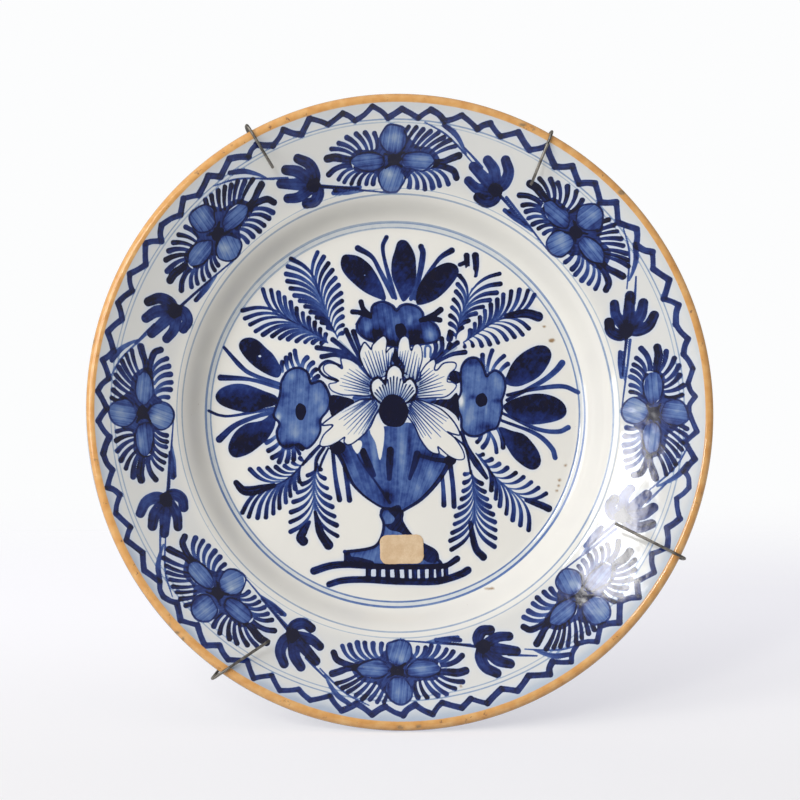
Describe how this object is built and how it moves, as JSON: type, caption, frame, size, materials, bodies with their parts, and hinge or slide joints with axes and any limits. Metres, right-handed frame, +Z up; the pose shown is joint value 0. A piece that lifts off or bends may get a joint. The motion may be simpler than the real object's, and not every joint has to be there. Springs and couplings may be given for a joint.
{
  "type": "faience plate with wire hanger",
  "caption": "Round tin-glazed earthenware dish with sloping rim, deep well and foot ring, in a sprung wire hanger.",
  "frame": {"origin": "where a nail bears under the hanger's loop, at the back of the dish", "axes": "+Z up as the dish hangs, the painted front faces -Y, +X to the right as seen from the front"},
  "size_m": [0.2546, 0.0428, 0.2574],
  "materials": {
    "painted_glaze": "glossy tin glaze, painted in cobalt blue with an ochre rim",
    "aged_paper": "matt yellowed paper",
    "dark_steel_wire": "dark drawn steel wire",
    "spring_steel": "drawn spring steel"
  },
  "bodies": {
    "dish": {"faience_dish": "painted_glaze", "paper_label": "aged_paper", "left_spring": "spring_steel", "right_spring": "spring_steel"},
    "upper_hook": {"upper_hook_wire": "dark_steel_wire"},
    "lower_hook": {"lower_hook_wire": "dark_steel_wire"}
  },
  "joints": [
    {"name": "upper_hook_slide", "type": "slide", "parent": "dish", "child": "upper_hook", "axis": [0, 0, 1], "range_m": [0, 0.028], "stiffness_N_per_m": 500, "springref_m": -0.008, "deforming": ["left_spring", "right_spring"]},
    {"name": "lower_hook_slide", "type": "slide", "parent": "dish", "child": "lower_hook", "axis": [0.236, 0, -0.9718], "range_m": [0, 0.03], "stiffness_N_per_m": 500, "springref_m": -0.008, "deforming": ["left_spring", "right_spring"]}
  ]
}
